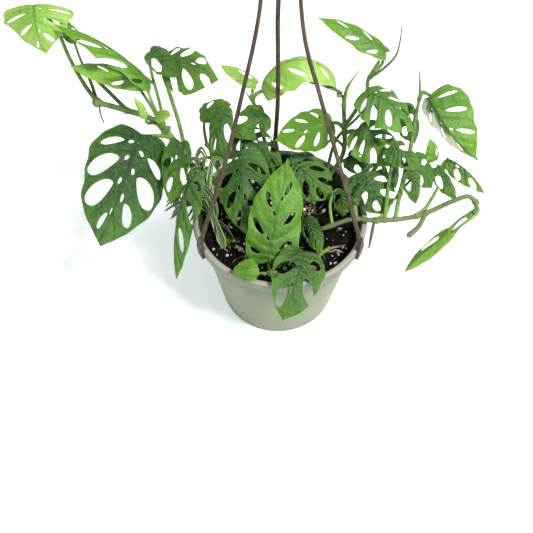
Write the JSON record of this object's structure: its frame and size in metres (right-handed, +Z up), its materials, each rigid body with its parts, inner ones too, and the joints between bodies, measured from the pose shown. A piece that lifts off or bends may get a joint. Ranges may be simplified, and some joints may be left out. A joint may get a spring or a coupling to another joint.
{
  "type": "hanging potted plant",
  "caption": "Monstera adansonii with perforated leaves trailing from a plastic hanging pot with a moulded three-strand hanger.",
  "frame": {"origin": "middle of the pot's flat underside", "axes": "+Z up along the pot's axis, -Y towards the viewer, +X to the viewer's right"},
  "size_m": [0.4085, 0.2133, 0.4214],
  "materials": {
    "pot_plastic": "matte",
    "hanger_plastic": "satin",
    "potting_soil": "matte",
    "stem_green": "satin",
    "leaf_mature": "satin",
    "leaf_young": "satin",
    "leaf_variegated": "satin"
  },
  "bodies": {
    "root": {"leaf_far_left": "leaf_young", "leaf_left_spur": "leaf_mature", "leaf_left_back": "leaf_mature", "leaf_left_back_low": "leaf_young", "leaf_left_big": "leaf_mature", "leaf_left_narrow": "leaf_mature", "leaf_left_unfurling": "leaf_young", "leaf_left_bud": "leaf_young", "leaf_top_left": "leaf_mature", "leaf_top_left_small": "leaf_mature", "leaf_hanging_left": "leaf_mature", "leaf_back_left_top": "leaf_mature", "leaf_back_left_edge": "leaf_mature", "leaf_back_narrow": "leaf_young", "leaf_back_arch": "leaf_young", "leaf_back_slotted": "leaf_mature", "leaf_pot_back": "leaf_mature", "leaf_pot_left": "leaf_mature", "leaf_pot_right": "leaf_mature", "leaf_front_bright": "leaf_young", "leaf_front_round": "leaf_young", "leaf_front_rim": "leaf_mature", "leaf_front_dark": "leaf_mature", "leaf_back_right_narrow": "leaf_mature", "leaf_back_middle": "leaf_young", "leaf_right_top": "leaf_mature", "leaf_right_low": "leaf_mature", "leaf_right_foot": "leaf_mature", "leaf_top_right": "leaf_young", "leaf_right_shade": "leaf_mature", "leaf_right_inner": "leaf_mature", "leaf_right_strap": "leaf_mature", "leaf_far_right": "leaf_young", "leaf_right_cluster": "leaf_mature", "leaf_right_behind": "leaf_mature", "leaf_right_curled": "leaf_young", "leaf_right_long": "leaf_mature", "leaf_right_twisted": "leaf_mature", "leaf_right_hanging": "leaf_mature", "leaf_right_fringe": "leaf_mature", "leaf_chain_upper": "leaf_mature", "leaf_chain_lower": "leaf_young", "vine_left": "stem_green", "vine_back_left": "stem_green", "vine_back": "stem_green", "vine_middle": "stem_green", "vine_upright": "stem_green", "vine_top_right": "stem_green", "vine_right": "stem_green", "seedling_front": "stem_green", "seedling_right": "stem_green", "spider_plant": "leaf_variegated", "pot": "pot_plastic", "soil": "potting_soil", "hanger_hook": "hanger_plastic", "hanger_strand_back": "hanger_plastic", "hanger_strand_left": "hanger_plastic", "hanger_strand_right": "hanger_plastic"}
  },
  "joints": []
}
